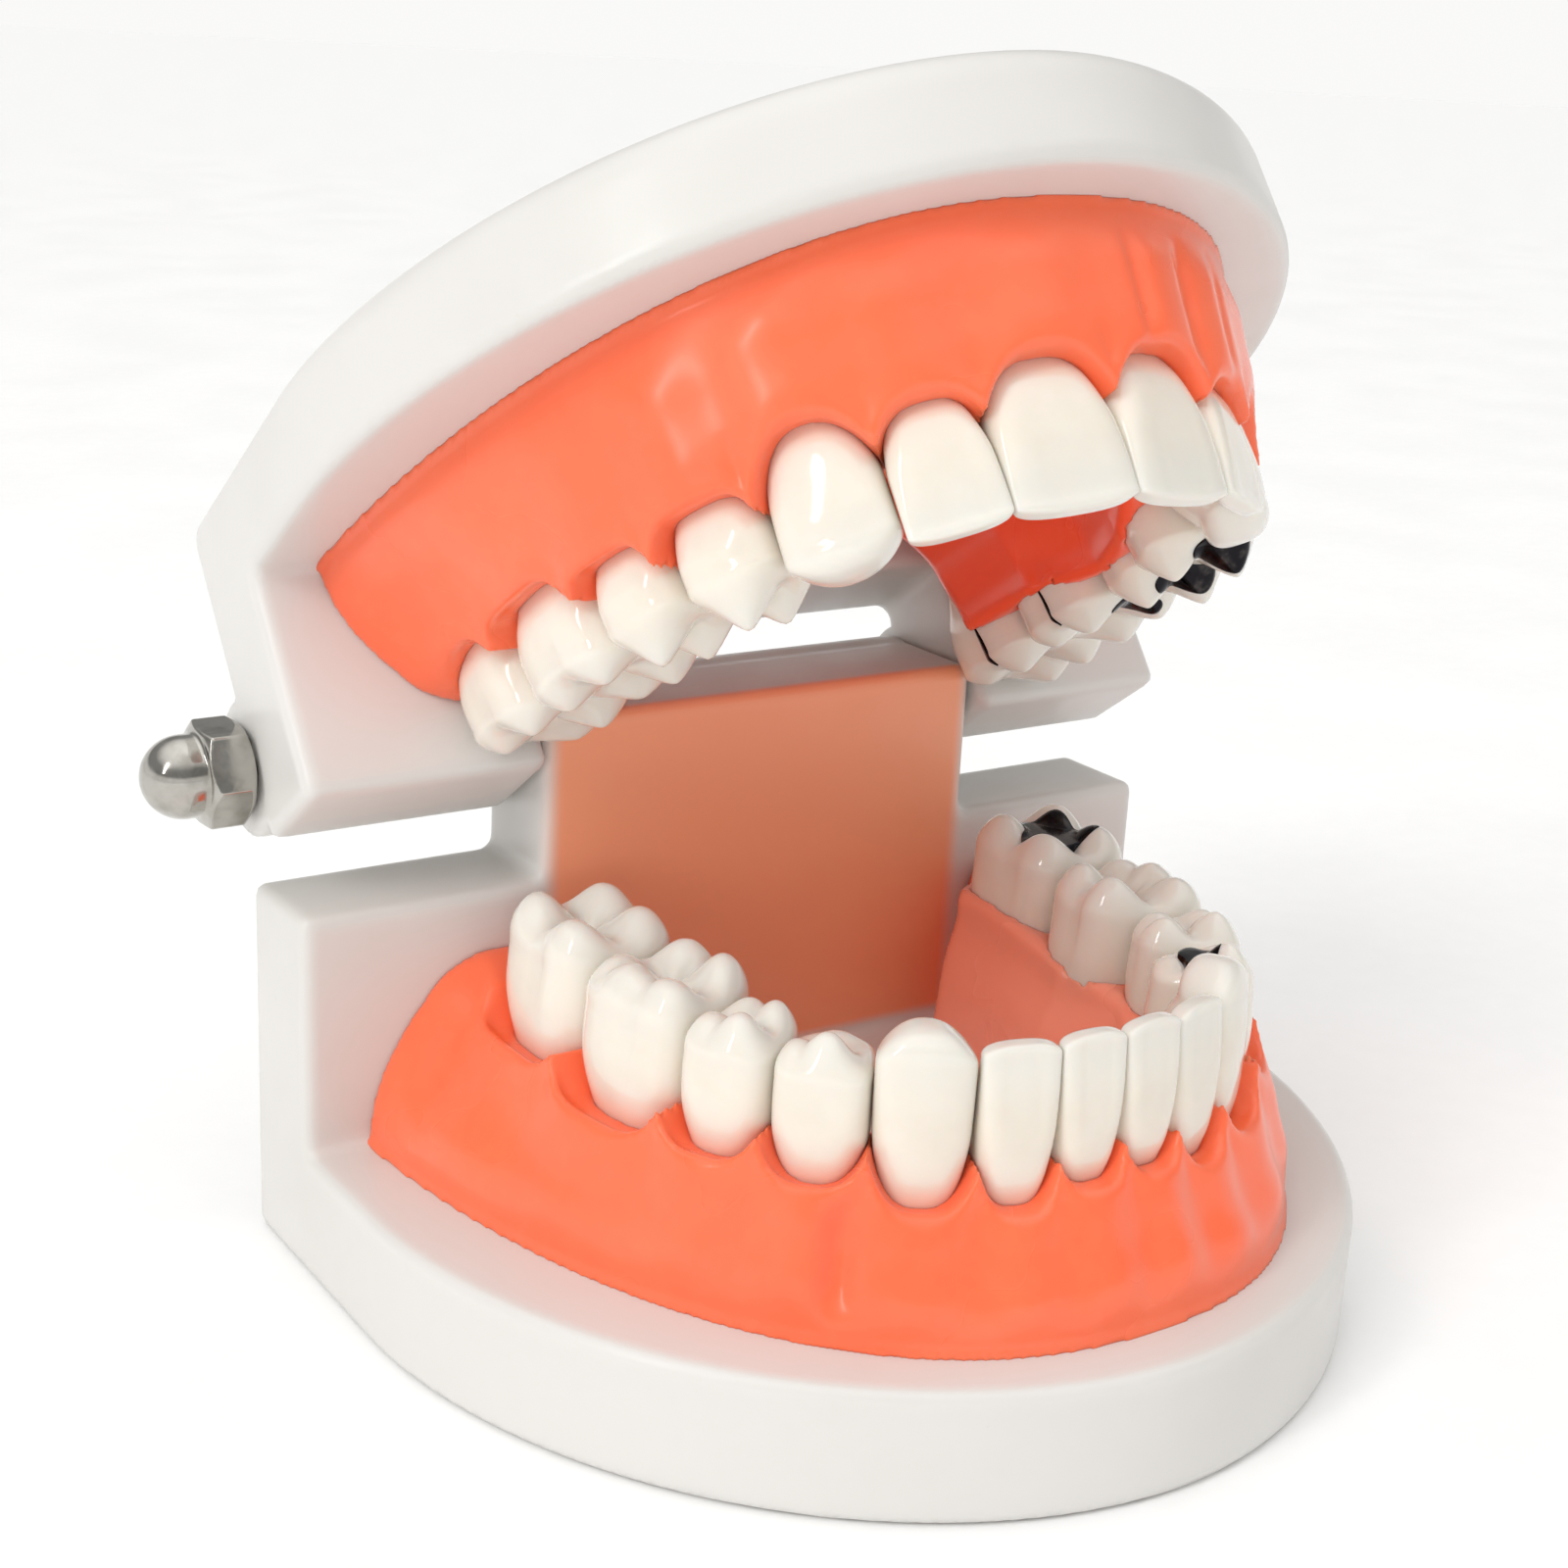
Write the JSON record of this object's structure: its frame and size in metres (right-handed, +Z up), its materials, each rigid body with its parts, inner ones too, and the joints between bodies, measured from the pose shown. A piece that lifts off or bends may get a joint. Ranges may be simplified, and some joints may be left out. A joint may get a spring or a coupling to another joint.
{
  "type": "dental typodont",
  "caption": "Hinged dental teaching model: white upper and lower jaw bases with gums, separate adult teeth and metal fillings, opening on a bolt at the back.",
  "frame": {"origin": "centre of the rest pose's bounding box, on the flat underside of the lower base", "axes": "+Z up, the mouth opens towards -Y, the patient's right is -X, and the hinge runs along X at the back"},
  "size_m": [0.09, 0.0708, 0.0857],
  "materials": {
    "white_plastic": "smooth white moulding, satin gloss",
    "gum_plastic": "glossy salmon-orange resin",
    "tooth_plastic": "polished, slightly milky ivory resin",
    "bright_steel": "bright nickel plate",
    "polished_amalgam": "dark polished metal"
  },
  "bodies": {
    "lower_jaw": {"lower_base": "white_plastic", "lower_gum": "gum_plastic", "lower_right_central_incisor": "tooth_plastic", "lower_right_lateral_incisor": "tooth_plastic", "lower_right_canine": "tooth_plastic", "lower_right_first_premolar": "tooth_plastic", "lower_right_second_premolar": "tooth_plastic", "lower_right_first_molar": "tooth_plastic", "lower_right_second_molar": "tooth_plastic", "lower_left_central_incisor": "tooth_plastic", "lower_left_lateral_incisor": "tooth_plastic", "lower_left_canine": "tooth_plastic", "lower_left_first_premolar": "tooth_plastic", "lower_left_second_premolar": "tooth_plastic", "lower_left_first_molar": "tooth_plastic", "lower_left_second_molar": "tooth_plastic", "lower_left_first_premolar_filling": "polished_amalgam", "lower_left_second_molar_filling": "polished_amalgam"},
    "upper_jaw": {"upper_base": "white_plastic", "upper_gum": "gum_plastic", "hinge_bolt": "bright_steel", "cap_nut_right": "bright_steel", "cap_nut_left": "bright_steel", "upper_right_central_incisor": "tooth_plastic", "upper_right_lateral_incisor": "tooth_plastic", "upper_right_canine": "tooth_plastic", "upper_right_first_premolar": "tooth_plastic", "upper_right_second_premolar": "tooth_plastic", "upper_right_first_molar": "tooth_plastic", "upper_right_second_molar": "tooth_plastic", "upper_left_central_incisor": "tooth_plastic", "upper_left_lateral_incisor": "tooth_plastic", "upper_left_canine": "tooth_plastic", "upper_left_first_premolar": "tooth_plastic", "upper_left_second_premolar": "tooth_plastic", "upper_left_first_molar": "tooth_plastic", "upper_left_second_molar": "tooth_plastic", "upper_left_first_premolar_filling": "polished_amalgam", "upper_left_second_premolar_filling": "polished_amalgam", "upper_left_first_molar_filling": "polished_amalgam"}
  },
  "joints": [
    {"name": "jaw_hinge", "type": "hinge", "parent": "lower_jaw", "child": "upper_jaw", "pos_m": [0, 0.0257, 0.0348], "axis": [-1, 0, 0], "range_deg": [-35.5, 83.1]}
  ]
}
